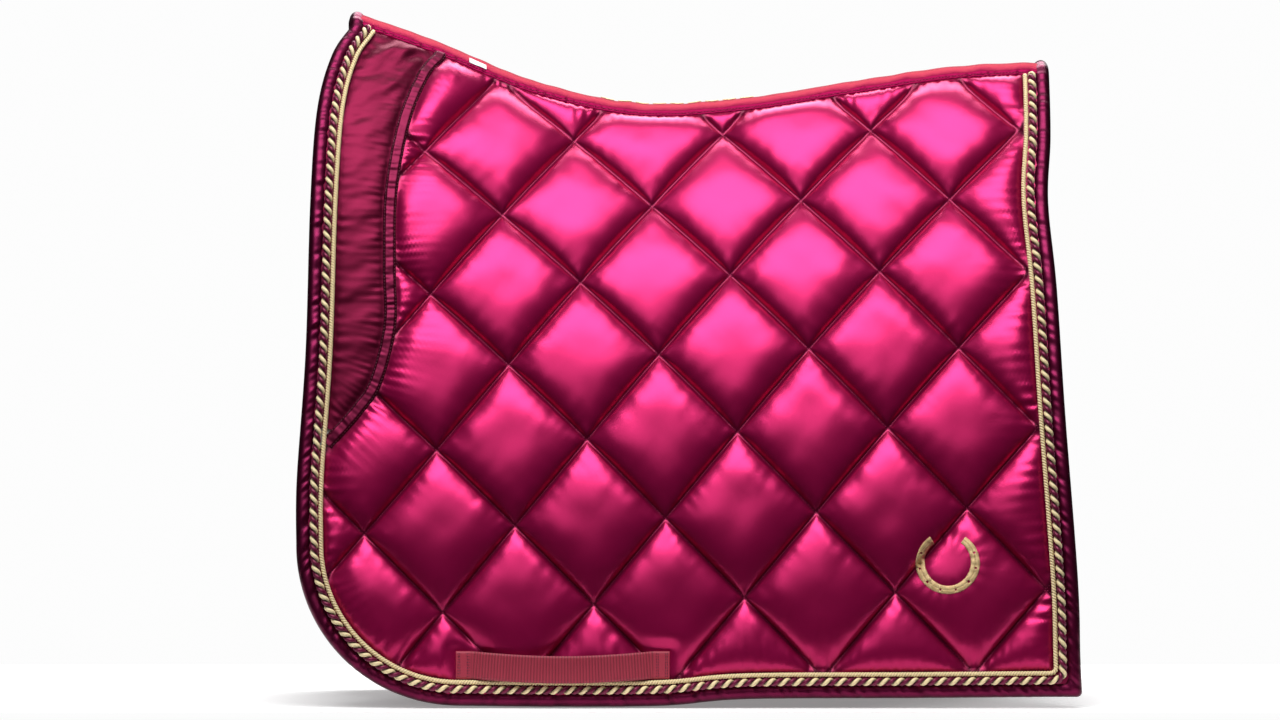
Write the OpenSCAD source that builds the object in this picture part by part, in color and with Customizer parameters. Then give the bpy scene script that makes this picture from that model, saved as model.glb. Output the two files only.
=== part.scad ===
// Quilted dressage saddle pad, draped over the line of a horse's back.
// +X runs to the tail, +Z is up, and the left flap is on -Y.
// The origin is on the underside of the spine, halfway along it.

/* [Drape] */
// Height of the spine above its middle, every 100 mm from x = -350 to x = 350
crown_heights = [93, 63, 22.5, 0.5, 5, 20.5, 35, 39];
// Slope of the cloth below horizontal, in degrees, at each distance down from the spine in mm
tilt_knots = [
    [0, 0], [14, 26], [30, 52], [70, 58], [160, 62], [250, 69],
    [340, 76], [430, 82], [520, 87], [570, 92], [600, 98]
];

/* [Outline] */
// Front end of the spine
spine_front_x = -318; // [-322:1:-314]
// Rear end of the spine
spine_rear_x = 336; // [330:1:342]
// Level of the bottom edge along the front half
bottom_z = -545; // [-555:1:-535]
// Radius of the front bottom corner
corner_r = 148; // [135:1:155]
// Width of the edge binding
binding_w = 12.5; // [10:0.5:14]

/* [Layers] */
// Thickness of the outer face fabric
panel_t = 1.2; // [0.8:0.1:1.5]
// Thickness of the wadding
wadding_t = 8; // [6:0.5:10]
// Thickness of the lining
lining_t = 1; // [0.8:0.1:1.5]
// Half width of the strip over the spine seam, along the cloth
strip_half_w = 26; // [24:1:27]

/* [Trim] */
// Diameter of the two-ply rope
rope_d = 7.6; // [6:0.2:8]
// Diameter of the fine cord
fine_cord_d = 4.6; // [4:0.2:5]
// Width of the tape between the wear panel and the quilting
wear_tape_w = 13; // [10:0.5:14]

/* [Girth loop] */
// Front end of the webbing
loop_front_x = -215; // [-220:1:-205]
// Rear end of the webbing
loop_rear_x = -20; // [-30:1:-10]
// Level of the webbing's centre line
loop_z = -507; // [-510:1:-500]
// Width of the webbing
loop_w = 25; // [20:1:27]
// Thickness of the webbing
loop_t = 1.8; // [1.2:0.1:2.2]
// How far the webbing's middle stands off the flap
loop_bow = 12; // [10:0.5:14]

/* [Embroidery] */
// Centre of the horseshoe crest, x
crest_x = 234; // [225:1:245]
// Centre of the horseshoe crest, level
crest_z = -414; // [-425:1:-405]
// Mean radius of the horseshoe
crest_r = 25; // [20:1:28]
// Width of the horseshoe's bar
crest_bar_w = 8; // [5:0.5:10]
// Number of lozenges along the spine
motif_count = 9; // [5:1:11]
// Middle of the row of lozenges, x
motif_x = -12; // [-30:1:10]
// Length of the row of lozenges
motif_l = 148; // [120:1:160]

/* [Label] */
// Middle of the care label, x
label_x = -200; // [-210:1:-190]
// Length of the label along the spine
label_l = 16; // [12:1:20]
// Depth of the label
label_h = 8; // [6:1:12]
// Distance of its sewn edge from the spine
label_s = 13; // [10:1:16]

/* [Hidden] */

LEFT = -1;
RIGHT = 1;
SATIN = [0.76, 0.05, 0.33];
WEAR_SATIN = [0.45, 0.04, 0.20];
DARK = [0.27, 0.02, 0.12];
GOLD = [0.86, 0.70, 0.42];
WEBBING = [0.55, 0.13, 0.22];

// The spine strip runs on x and s, the distance from the spine across the cloth.
// A flap runs on x and q, the distance down the cloth from the level of the spine's middle.
knot_pitch = 100;
first_knot_x = -350;
skin_gap = 0.3;
butt_gap = 1;
seam_gap = 2.5;
hinge_gap = 2;
pad_t = panel_t + wadding_t + lining_t + 2 * skin_gap;
flap_top_s = strip_half_w + hinge_gap;
rope_inset = binding_w + rope_d / 2;
fine_cord_inset = binding_w + rope_d + fine_cord_d / 2 + skin_gap;

// Cubic through evenly spaced knots a, b, c, d, between b at t = 0 and c at t = 1
function cubic(a, b, c, d, t) =
    b + t * ((c - a) + t * (2 * a - 5 * b + 4 * c - d + t * (3 * b - a - 3 * c + d))) / 2;

function knot(list, i) = list[min(max(i, 0), len(list) - 1)];

function spline(list, i, t) =
    cubic(knot(list, i - 1), knot(list, i), knot(list, i + 1), knot(list, i + 2), t);

// Points along a smooth line through the given knots, with the last knot included
function smooth(list, steps) = [
    for (i = [0:len(list) - 2]) for (j = [0:steps - 1]) spline(list, i, j / steps),
    list[len(list) - 1]
];

function crown(x) =
    let (u = (x - first_knot_x) / knot_pitch, i = min(max(floor(u), 0), len(crown_heights) - 2))
    spline(crown_heights, i, u - i);

// Height of the outer face along the spine
crown_middle = crown(0);
function crown_z(x) = crown(x) - crown_middle + pad_t;

// The half width and the drop of the cross-section, summed down the cloth in short steps
drape_step = 5;
drape_length = 760;
function tilt(s) = lookup(s, tilt_knots);
DRAPE = [
    for (
        s = 0, y = 0, drop = 0;
        s <= drape_length;
        y = y + drape_step * cos(tilt(s + drape_step / 2)),
        drop = drop + drape_step * sin(tilt(s + drape_step / 2)),
        s = s + drape_step
    ) [s, y, drop]
];
WIDTH_BY_S = [for (d = DRAPE) [d[0], d[1]]];
DROP_BY_S = [for (d = DRAPE) [d[0], d[2]]];
WIDTH_BY_DROP = [for (d = DRAPE) [d[2], d[1]]];
S_BY_DROP = [for (d = DRAPE) [d[2], d[0]]];

// Above the spine's middle the cloth is measured as if it went on at the slope it has there
upper_tilt = 58;
function smoothstep(t) = let (c = min(max(t, 0), 1)) c * c * (3 - 2 * c);
function z_of_q(q) = pad_t - (q < 0 ? q * sin(upper_tilt) : lookup(q + q_start, DROP_BY_S) - start_drop);
start_drop = 14;
q_start = lookup(start_drop, S_BY_DROP);
function q_of_z(z) =
    let (d = pad_t - z) d < 0 ? d / sin(upper_tilt) : lookup(d + start_drop, S_BY_DROP) - q_start;

// The flaps share one cross-section low down, and follow the spine's own height near it
merge_depth = 350;
function half_width(x, z) =
    let (w = smoothstep((pad_t - z) / merge_depth))
    (1 - w) * lookup(crown_z(x) - z, WIDTH_BY_DROP) + w * lookup(pad_t - z, WIDTH_BY_DROP);

function unit(v) = v / norm(v);

// Point n outside the outer face of the right flap
function flap_face(x, q) = let (z = z_of_q(q)) [x, half_width(x, z), z];
function place(x, q, n) =
    let (
        h = 0.5,
        back = flap_face(x - h, q) - flap_face(x + h, q),
        up = flap_face(x, q - h) - flap_face(x, q + h),
        out = cross(back, up)
    )
    flap_face(x, q) + n * unit(out);

// The same on the spine strip; a negative s is on the left
function spine_place(x, s, n) =
    let (
        side = s < 0 ? LEFT : RIGHT,
        a = tilt(abs(s)),
        slope = (crown(x + 1) - crown(x - 1)) / 2,
        out = [-slope * cos(a), side * sin(a), cos(a)]
    )
    [x, side * lookup(abs(s), WIDTH_BY_S), crown_z(x) - lookup(abs(s), DROP_BY_S)] + n * unit(out);

// Top of a flap, beside the spine strip
function q_top(x) = q_of_z(crown_z(x) - lookup(flap_top_s, DROP_BY_S));
function under_strip(p) = [p[0], max(p[1], q_top(p[0]))];
function on_cloth(p) = under_strip([p[0], q_of_z(p[1])]);

// The outer edge of a flap, from the front of the spine round to its rear
front_knots = [
    [spine_front_x, 84], [-334, 58], [-346, 8], [-351, -80], [-354, -220],
    [-361, bottom_z + corner_r + 60], [-361, bottom_z + corner_r]
];
corner_steps = 8;
corner_arc = [
    for (i = [1:corner_steps - 1]) let (a = 180 + 90 * i / corner_steps)
        [corner_r - 361 + corner_r * cos(a), bottom_z + corner_r + corner_r * sin(a)]
];
bottom_knots = [
    [corner_r - 361, bottom_z], [-120, bottom_z - 1], [-25, bottom_z], [50, bottom_z + 6],
    [200, bottom_z + 7], [320, bottom_z + 8]
];
rear_corner = [357, bottom_z + 8];
rear_knots = [
    [355, -500], [353, -430], [343, -280], [337, -160], [331, -80], [335, -20], [spine_rear_x, 38]
];
front_edge = smooth(front_knots, 3);
bottom_edge = smooth(bottom_knots, 3);
rear_edge = smooth(rear_knots, 3);
EDGE = [for (p = concat(front_edge, corner_arc, bottom_edge, [rear_corner], rear_edge)) on_cloth(p)];
front_end = len(front_edge) + corner_steps / 2 - 1;
corner_end = len(front_edge) + len(corner_arc) + len(bottom_edge);
edge_end = len(EDGE) - 1;

function left_turn(v) = [v[1], -v[0]];

// Offset at each vertex that keeps an inset line parallel to the outline on both sides of it
function miter(line, k) =
    let (
        back = left_turn(unit(line[max(k, 1)] - line[max(k, 1) - 1])),
        ahead = left_turn(unit(line[min(k, len(line) - 2) + 1] - line[min(k, len(line) - 2)]))
    )
    (back + ahead) / (1 + back * ahead);

EDGE_MITER = [
    for (k = [0:edge_end])
        k == 0 ? [1, 0] : k == edge_end ? [-1, 0] : miter(EDGE, k)
];
function inset(k, w) =
    let (p = EDGE[k] + w * EDGE_MITER[k])
    k == 0 || k == edge_end ? [p[0], q_top(p[0])] : under_strip(p);

// The seam between the wear panel and the quilting, from the spine down to the front edge
seam_knots = [
    [-236, 54], [-249, 38], [-266, -6], [-277, -72], [-278, -141],
    [-277, -196], [-289, -247], [-305, -273], [-334, -306]
];
seam_line = [for (p = smooth(seam_knots, 2)) on_cloth(p)];
function seam_at(w) = [
    for (k = [0:len(seam_line) - 1]) under_strip(seam_line[k] + w * miter(seam_line, k))
];

// Tables of a line's two coordinates against the fraction of its length
function distances(line) = [
    for (i = 0, d = 0; i < len(line);
        d = d + (i + 1 < len(line) ? norm(line[i + 1] - line[i]) : 0), i = i + 1) d
];
function table(line) =
    let (d = distances(line), total = d[len(d) - 1])
    [for (c = [0, 1]) [for (i = [0:len(line) - 1]) [d[i] / total, line[i][c]]]];
function at(t, f) = [lookup(f, t[0]), lookup(f, t[1])];

// A grid of surface coordinates that fills the space between four lines
function grid_between(top, bottom, front, rear, columns, rows) =
    let (t = table(top), b = table(bottom), f = table(front), r = table(rear))
    [for (i = [0:columns]) [for (j = [0:rows])
        let (u = i / columns, v = j / rows)
        (1 - v) * at(t, u) + v * at(b, u) + (1 - u) * at(f, v) + u * at(r, v)
            - (1 - u) * (1 - v) * at(f, 0) - u * (1 - v) * at(r, 0)
            - (1 - u) * v * at(f, 1) - u * v * at(r, 1)
    ]];

function top_line(first_x, last_x) =
    [for (i = [0:16]) let (x = first_x + (last_x - first_x) * i / 16) [x, q_top(x)]];
function edge_line(first, last, w) =
    [for (k = [first:last]) inset(k, w)];
function reversed(list) = [for (i = [len(list) - 1:-1:0]) list[i]];

// A closed skin between two levels over a grid of surface coordinates
module skin(grid, n_low, n_high, on_spine = false) {
    columns = len(grid) - 1;
    rows = len(grid[0]) - 1;
    layer = (columns + 1) * (rows + 1);
    function id(i, j) = i * (rows + 1) + j;
    points = [
        for (n = [n_high, n_low]) for (line = grid) for (p = line)
            on_spine ? spine_place(p[0], p[1], n) : place(p[0], p[1], n)
    ];
    high = [
        for (i = [0:columns - 1]) for (j = [0:rows - 1])
            each [
                [id(i, j), id(i + 1, j), id(i + 1, j + 1)],
                [id(i, j), id(i + 1, j + 1), id(i, j + 1)]
            ]
    ];
    low = [for (f = high) [f[2] + layer, f[1] + layer, f[0] + layer]];
    rim = concat(
        [for (i = [0:columns]) id(i, 0)],
        [for (j = [1:rows]) id(columns, j)],
        [for (i = [columns - 1:-1:0]) id(i, rows)],
        [for (j = [rows - 1:-1:1]) id(0, j)]
    );
    sides = [
        for (k = [0:len(rim) - 1]) let (a = rim[k], b = rim[(k + 1) % len(rim)])
            each [[b, a, a + layer], [b, a + layer, b + layer]]
    ];
    polyhedron(points, concat(high, low, sides), convexity = 6);
}

// A closed solid through a list of rings with the same number of points
module sweep(rings) {
    count = len(rings[0]);
    last = (len(rings) - 1) * count;
    sides = [
        for (i = [0:len(rings) - 2]) for (j = [0:count - 1])
            let (a = i * count + j, b = i * count + (j + 1) % count)
            each [[a, b, b + count], [a, b + count, a + count]]
    ];
    caps = [
        for (j = [1:count - 2])
            each [[0, j + 1, j], [last, last + j, last + j + 1]]
    ];
    polyhedron([for (ring = rings) each ring], concat(sides, caps), convexity = 8);
}

// A round cord sewn on top of the cloth, inset w from the edge
module edge_cord(w, d, sides) {
    sweep([
        for (k = [0:edge_end])
            [for (j = [0:sides - 1]) let (a = 360 * j / sides, p = inset(k, w + d / 2 * cos(a)))
                place(p[0], p[1], skin_gap + d / 2 * (1 + sin(a)))]
    ]);
}

module on_side(side) {
    if (side == LEFT) mirror([0, 1, 0]) children();
    else children();
}

// Layer levels, below the outer face
wadding_high = -panel_t - skin_gap;
wadding_low = wadding_high - wadding_t;
lining_high = wadding_low - skin_gap;
stack_inset = binding_w + butt_gap;

function spine_grid(half_w, columns, rows) = [
    for (i = [0:columns]) [for (j = [0:rows])
        [spine_front_x + (spine_rear_x - spine_front_x) * i / columns, half_w * (2 * j / rows - 1)]]
];

module spine_layer(n_low, n_high) {
    skin(spine_grid(strip_half_w, 26, 6), n_low, n_high, on_spine = true);
}

module spine_strip() { color(SATIN) spine_layer(-panel_t, 0); }

module spine_core() { color("white") spine_layer(wadding_low, wadding_high); }

module spine_tape() { color(DARK) spine_layer(-pad_t, lining_high); }

// A row of embroidered lozenges on the strip
module spine_motif() {
    pitch = motif_l / motif_count;
    motif_t = 0.8;
    half_l = pitch * 0.4;
    half_w = 4.5;
    color(GOLD)
        for (i = [0:motif_count - 1]) {
            x = motif_x + pitch * (i - (motif_count - 1) / 2);
            corners = [[x - half_l, 0], [x, half_w], [x + half_l, 0], [x, -half_w]];
            sweep([
                for (n = [skin_gap, skin_gap + motif_t])
                    [for (c = corners) spine_place(c[0], c[1], n)]
            ]);
        }
}

function full_flap(columns, rows) =
    grid_between(
        top_line(inset(0, stack_inset)[0], inset(edge_end, stack_inset)[0]),
        edge_line(front_end, corner_end, stack_inset),
        edge_line(0, front_end, stack_inset),
        reversed(edge_line(corner_end, edge_end, stack_inset)),
        columns, rows
    );

module wadding(side) {
    color("white") on_side(side) skin(full_flap(20, 18), wadding_low, wadding_high);
}

module lining(side) {
    color(DARK) on_side(side) skin(full_flap(20, 18), -pad_t, lining_high);
}

// The seam meets the front edge at the first edge vertex lower than the seam's end
seam_clear = wear_tape_w / 2 + seam_gap;
seam_foot = seam_line[len(seam_line) - 1];
foot_k = [for (k = [0:front_end]) if (EDGE[k][1] > seam_foot[1] + seam_clear) k][0];

module outer_panel(side) {
    seam = seam_at(seam_clear);
    front = concat([for (k = [0:len(seam) - 2]) seam[k]], edge_line(foot_k, front_end, stack_inset));
    color(SATIN) on_side(side)
        skin(grid_between(
            top_line(seam[0][0], inset(edge_end, stack_inset)[0]),
            edge_line(front_end, corner_end, stack_inset),
            front,
            reversed(edge_line(corner_end, edge_end, stack_inset)),
            18, 20
        ), -panel_t, 0);
}

module wear_panel(side) {
    seam = seam_at(-seam_clear);
    inner = [for (p = seam) if (p[0] > inset(foot_k - 1, stack_inset)[0] + butt_gap) p];
    foot = inner[len(inner) - 1];
    outer = [for (k = [0:foot_k - 1]) if (EDGE[k][1] < foot[1]) inset(k, stack_inset)];
    tip = outer[len(outer) - 1];
    color(WEAR_SATIN) on_side(side)
        skin(
            grid_between(top_line(outer[0][0], inner[0][0]), [tip, foot], outer, inner, 5, 14),
            -panel_t, 0
        );
}

module wear_tape(side) {
    tape_rise = 0.2;
    line_a = seam_at(-wear_tape_w / 2);
    line_b = seam_at(wear_tape_w / 2);
    color(WEAR_SATIN) on_side(side)
        skin([
            for (k = [0:len(seam_line) - 1])
                [for (t = [0, 0.5, 1]) line_b[k] * t + line_a[k] * (1 - t)]
        ], -panel_t, tape_rise);
}

// Satin folded round the raw edge of all the layers
module edge_binding(side) {
    profile = [
        [1, 0], [0.5, 0.01], [0.12, -0.15], [0, -0.5], [0.12, -0.85], [0.5, -1.01], [1, -1]
    ];
    color(DARK) on_side(side)
        sweep([
            for (k = [0:edge_end])
                [for (q = reversed(profile)) let (p = inset(k, binding_w * q[0]))
                    place(p[0], p[1], pad_t * q[1])]
        ]);
}

module rope(side) { color(GOLD) on_side(side) edge_cord(rope_inset, rope_d, 8); }

module fine_cord(side) { color(GOLD) on_side(side) edge_cord(fine_cord_inset, fine_cord_d, 8); }

// Webbing sewn down at both ends, standing off the flap between them
module girth_loop(side) {
    steps = 26;
    sewn = 0.08;
    loop_sag = 3.5;
    color(WEBBING) on_side(side)
        sweep([
            for (i = [0:steps])
                let (
                    u = i / steps,
                    x = loop_front_x + (loop_rear_x - loop_front_x) * u,
                    v = min(max((u - sewn) / (1 - 2 * sewn), 0), 1),
                    n = skin_gap + loop_bow * pow(sin(180 * v), 0.6),
                    q = q_of_z(loop_z) + loop_sag * sin(180 * v)
                )
                [for (c = [[-0.5, 0], [-0.5, 1], [0.5, 1], [0.5, 0]])
                    place(x, q + loop_w * c[0], n + loop_t * c[1])]
        ]);
}

// An open horseshoe, its ends upwards
module crest(side) {
    steps = 22;
    opening = 70;
    crest_t = 1;
    q = q_of_z(crest_z);
    color(GOLD) on_side(side)
        sweep([
            for (i = [0:steps])
                let (a = 90 + opening / 2 + (360 - opening) * i / steps)
                [for (c = [[-0.5, 0], [-0.5, 1], [0.5, 1], [0.5, 0]])
                    let (r = crest_r + crest_bar_w * c[0])
                    place(crest_x + r * cos(a), q - r * sin(a), skin_gap + crest_t * c[1])]
        ]);
}

// A folded woven label on the spine strip, sewn down by its upper edge
module care_label() {
    label_t = 1.2;
    clearance = 0.6;
    color("white")
        skin([
            for (x = [label_x - label_l / 2, label_x, label_x + label_l / 2])
                [for (t = [0, 0.5, 1]) [x, -label_s - label_h * (1 - t)]]
        ], clearance, clearance + label_t, on_spine = true);
}

spine_strip();
spine_core();
spine_tape();
spine_motif();
outer_panel(LEFT);  // left_outer_panel
wadding(LEFT);  // left_wadding
lining(LEFT);  // left_lining
wear_panel(LEFT);  // left_wear_panel
wear_tape(LEFT);  // left_wear_tape
edge_binding(LEFT);  // left_edge_binding
rope(LEFT);  // left_rope
fine_cord(LEFT);  // left_fine_cord
girth_loop(LEFT);  // left_girth_loop
crest(LEFT);  // left_crest
outer_panel(RIGHT);  // right_outer_panel
wadding(RIGHT);  // right_wadding
lining(RIGHT);  // right_lining
wear_panel(RIGHT);  // right_wear_panel
wear_tape(RIGHT);  // right_wear_tape
edge_binding(RIGHT);  // right_edge_binding
rope(RIGHT);  // right_rope
fine_cord(RIGHT);  // right_fine_cord
girth_loop(RIGHT);  // right_girth_loop
crest(RIGHT);  // right_crest
care_label();
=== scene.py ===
import math

import bpy
import numpy as np
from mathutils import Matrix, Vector

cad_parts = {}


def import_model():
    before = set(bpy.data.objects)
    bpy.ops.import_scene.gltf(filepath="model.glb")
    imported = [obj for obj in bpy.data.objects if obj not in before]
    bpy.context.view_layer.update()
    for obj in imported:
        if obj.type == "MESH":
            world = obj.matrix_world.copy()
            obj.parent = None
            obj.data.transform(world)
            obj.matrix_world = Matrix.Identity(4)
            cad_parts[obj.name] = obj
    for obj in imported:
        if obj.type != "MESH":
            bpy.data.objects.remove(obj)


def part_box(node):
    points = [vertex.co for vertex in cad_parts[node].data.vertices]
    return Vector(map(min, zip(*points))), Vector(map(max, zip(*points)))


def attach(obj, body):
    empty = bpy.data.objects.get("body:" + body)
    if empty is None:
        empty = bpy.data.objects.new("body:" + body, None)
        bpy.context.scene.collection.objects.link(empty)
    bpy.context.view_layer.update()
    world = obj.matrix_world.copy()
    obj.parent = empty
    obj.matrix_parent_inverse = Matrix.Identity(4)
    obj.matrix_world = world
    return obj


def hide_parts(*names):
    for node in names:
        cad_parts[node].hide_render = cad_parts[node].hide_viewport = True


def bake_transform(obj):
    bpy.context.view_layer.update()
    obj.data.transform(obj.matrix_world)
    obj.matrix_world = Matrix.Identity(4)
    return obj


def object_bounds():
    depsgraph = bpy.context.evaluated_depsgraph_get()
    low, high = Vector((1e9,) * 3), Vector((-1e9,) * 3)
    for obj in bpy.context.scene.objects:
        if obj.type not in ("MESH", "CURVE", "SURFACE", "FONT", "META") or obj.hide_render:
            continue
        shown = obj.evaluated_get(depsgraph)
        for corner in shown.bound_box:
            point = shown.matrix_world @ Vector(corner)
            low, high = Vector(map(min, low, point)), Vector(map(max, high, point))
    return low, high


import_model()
cad_low, cad_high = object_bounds()

# Lengths are in millimetres up to mesh_object, which makes them metres.
MM = 0.001
LEFT, RIGHT = -1, 1
SIDES = {"left": LEFT, "right": RIGHT}

# --- the cloth's shape, as in the CAD source ---

CROWN = np.array([93, 63, 22.5, 0.5, 5, 20.5, 35, 39])
CROWN_FIRST_X, CROWN_PITCH = -350, 100
TILT = np.array([
    [0, 0], [14, 26], [30, 52], [70, 58], [160, 62], [250, 69],
    [340, 76], [430, 82], [520, 87], [570, 92], [600, 98],
])
PAD_T = 10.8
FLAP_TOP = 28
START_DROP = 14
UPPER_TILT = math.radians(58)
MERGE_DEPTH = 350
BINDING_W = 12.5
ROPE_D, FINE_D = 7.6, 4.6
CORD_GAP = 0.3
ROPE_INSET = BINDING_W + ROPE_D / 2
FINE_INSET = BINDING_W + ROPE_D + FINE_D / 2 + CORD_GAP
TAPE_W = 13
STRIP_HALF, SPINE_TAPE_HALF, STITCH_IN = 26, 25, 2.6
SPINE_FRONT, SPINE_REAR = (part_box("spine_strip")[i].x / MM for i in (0, 1))


def cubic(a, b, c, d, t):
    return b + t * ((c - a) + t * (2 * a - 5 * b + 4 * c - d + t * (3 * b - a - 3 * c + d))) / 2


def crown(x):
    u = (np.asarray(x, float) - CROWN_FIRST_X) / CROWN_PITCH
    i = np.clip(np.floor(u).astype(int), 0, len(CROWN) - 2)
    a, b, c, d = (CROWN[np.clip(i + k, 0, len(CROWN) - 1)] for k in (-1, 0, 1, 2))
    return cubic(a, b, c, d, u - i)


CROWN_MIDDLE = float(crown(0))


def crown_z(x):
    return crown(x) - CROWN_MIDDLE + PAD_T


STEP = 0.5
DRAPE_S = np.arange(0, 760, STEP)
_tilt = np.radians(np.interp(DRAPE_S + STEP / 2, TILT[:, 0], TILT[:, 1]))
DRAPE_W = np.concatenate([[0], np.cumsum(STEP * np.cos(_tilt))[:-1]])
DRAPE_D = np.concatenate([[0], np.cumsum(STEP * np.sin(_tilt))[:-1]])
Q_START = np.interp(START_DROP, DRAPE_D, DRAPE_S)


def z_of_q(q):
    low = np.interp(q + Q_START, DRAPE_S, DRAPE_D) - START_DROP
    return PAD_T - np.where(q < 0, q * math.sin(UPPER_TILT), low)


def q_of_z(z):
    d = PAD_T - np.asarray(z, float)
    low = np.interp(d + START_DROP, DRAPE_D, DRAPE_S) - Q_START
    return np.where(d < 0, d / math.sin(UPPER_TILT), low)


def smoothstep(t):
    c = np.clip(t, 0, 1)
    return c * c * (3 - 2 * c)


def q_top(x):
    return q_of_z(crown_z(x) - np.interp(FLAP_TOP, DRAPE_S, DRAPE_D))


def face_point(x, q):
    """Outer face of the right half; q less than the flap's top runs up over the spine strip."""
    t = q - q_top(x) + FLAP_TOP
    z = z_of_q(q)
    w = smoothstep((PAD_T - z) / MERGE_DEPTH)
    half = (1 - w) * np.interp(crown_z(x) - z, DRAPE_D, DRAPE_W) + w * np.interp(PAD_T - z, DRAPE_D, DRAPE_W)
    on_spine = t < FLAP_TOP
    y_spine = np.sign(t) * np.interp(np.abs(t), DRAPE_S, DRAPE_W)
    z_spine = crown_z(x) - np.interp(np.abs(t), DRAPE_S, DRAPE_D)
    return np.stack([x, np.where(on_spine, y_spine, half), np.where(on_spine, z_spine, z)], -1)


def cloth(x, q, n, side):
    """Points n outside the outer face, at x and q on the left or right half."""
    x, q, n = np.broadcast_arrays(np.asarray(x, float), np.asarray(q, float), np.asarray(n, float))
    h = 0.6
    back = face_point(x - h, q) - face_point(x + h, q)
    up = face_point(x, q - h) - face_point(x, q + h)
    out = np.cross(back, up)
    out /= np.linalg.norm(out, axis=-1, keepdims=True)
    p = face_point(x, q) + n[..., None] * out
    return p * [1, side, 1]


def spine_q(x, s):
    """q of a point s from the spine across the cloth."""
    return q_top(x) - FLAP_TOP + s


# --- lines on the cloth ---

def smooth_line(knots, step=1.0):
    """Points about a step apart on a smooth line through the knots."""
    k = np.asarray(knots, float)
    out = []
    for i in range(len(k) - 1):
        a, b, c, d = (k[min(max(i + j, 0), len(k) - 1)] for j in (-1, 0, 1, 2))
        count = max(2, int(np.linalg.norm(c - b) / step))
        for j in range(count):
            out.append(cubic(a, b, c, d, j / count))
    return np.array(out + [k[-1]])


def lengths(p):
    return np.concatenate([[0], np.cumsum(np.linalg.norm(np.diff(p, axis=0), axis=1))])


def resample(p, step):
    d = lengths(p)
    at = np.linspace(0, d[-1], max(2, int(round(d[-1] / step)) + 1))
    return np.stack([np.interp(at, d, p[:, i]) for i in range(p.shape[1])], -1)


def normals_2d(p):
    t = np.gradient(p, axis=0)
    t /= np.linalg.norm(t, axis=1, keepdims=True)
    return np.stack([t[:, 1], -t[:, 0]], -1)


CORNER_R = 148
BOTTOM_Z = -545
FRONT_X = -361
REAR_CORNER = np.array([357, BOTTOM_Z + 8])
FRONT_KNOTS = [
    (SPINE_FRONT, 84), (-334, 58), (-346, 8), (-351, -80), (-354, -220),
    (FRONT_X, BOTTOM_Z + CORNER_R + 60), (FRONT_X, BOTTOM_Z + CORNER_R),
]
BOTTOM_KNOTS = [
    (CORNER_R + FRONT_X, BOTTOM_Z), (-120, BOTTOM_Z - 1), (-25, BOTTOM_Z), (50, BOTTOM_Z + 6),
    (200, BOTTOM_Z + 7), (320, BOTTOM_Z + 8), tuple(REAR_CORNER),
]
REAR_KNOTS = [
    tuple(REAR_CORNER), (355, -500), (353, -430), (343, -280), (337, -160), (331, -80), (335, -20),
    (SPINE_REAR, 38),
]
SEAM_KNOTS = [
    (-236, 54), (-249, 38), (-266, -6), (-277, -72), (-278, -141),
    (-277, -196), (-289, -247), (-305, -273), (-334, -306),
]


def on_cloth(p):
    return np.stack([p[:, 0], np.maximum(q_of_z(p[:, 1]), q_top(p[:, 0]))], -1)


_arc = np.radians(np.linspace(180, 270, 60))
_arc = np.stack([
    CORNER_R + FRONT_X + CORNER_R * np.cos(_arc), BOTTOM_Z + CORNER_R + CORNER_R * np.sin(_arc)], -1)
_front = on_cloth(smooth_line(FRONT_KNOTS))
_rear = on_cloth(smooth_line(REAR_KNOTS))
_over = np.linspace(-FLAP_TOP, 0, 16)[:-1, None]
FRONT_LINE = resample(np.concatenate([
    np.hstack([np.full_like(_over, _front[0, 0]), _over + _front[0, 1]]), _front,
    on_cloth(_arc)[1:-1], on_cloth(smooth_line(BOTTOM_KNOTS)),
]), 1.5)
REAR_LINE = resample(np.concatenate([
    _rear, np.hstack([np.full_like(_over, _rear[-1, 0]), (_over + _rear[-1, 1])[::-1]]),
]), 1.5)


def crossing(a, b):
    """Where two lines of points cross near the end of a and the start of b: the index in each."""
    gap = np.linalg.norm(a[-60:, None] - b[None, :60], axis=-1)
    i, j = np.unravel_index(np.argmin(gap), gap.shape)
    return len(a) - min(60, len(a)) + i, j


def edge_path(inset, corner_r, step):
    """The outline of a flap, inset, from the spine at the front round to the spine at the rear."""
    a = FRONT_LINE + inset * normals_2d(FRONT_LINE)
    b = REAR_LINE + inset * normals_2d(REAR_LINE)
    i, j = crossing(a, b) if inset > 0.5 else (len(a) - 1, 0)
    corner = (a[i] + b[j]) / 2
    back = max(1, int(corner_r / 1.5))
    p, r = a[i - back], b[j + back]
    t = np.linspace(0, 1, 10)[1:-1, None]
    bend = (1 - t) ** 2 * p + 2 * t * (1 - t) * corner + t ** 2 * r
    line = np.concatenate([a[: i - back + 1], bend, b[j + back:]])
    line[:, 1] = np.maximum(line[:, 1], spine_q(line[:, 0], 0))
    first = np.argmax(line[:, 1] > spine_q(line[:, 0], 0) + 0.1) - 1
    last = len(line) - np.argmax(line[::-1, 1] > spine_q(line[::-1, 0], 0) + 0.1)
    return resample(line[max(first, 0): last + 1], step)


SEAM_LINE = resample(on_cloth(smooth_line(SEAM_KNOTS)), 1.5)
_up = np.linspace(-10, 0, 8)[:-1, None]
SEAM_LINE = np.concatenate([np.hstack([SEAM_LINE[0, 0] - 0.4 * _up, SEAM_LINE[0, 1] + _up]), SEAM_LINE])


def seam_line(offset):
    return SEAM_LINE + offset * normals_2d(SEAM_LINE)


# --- irregular patterns ---

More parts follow.
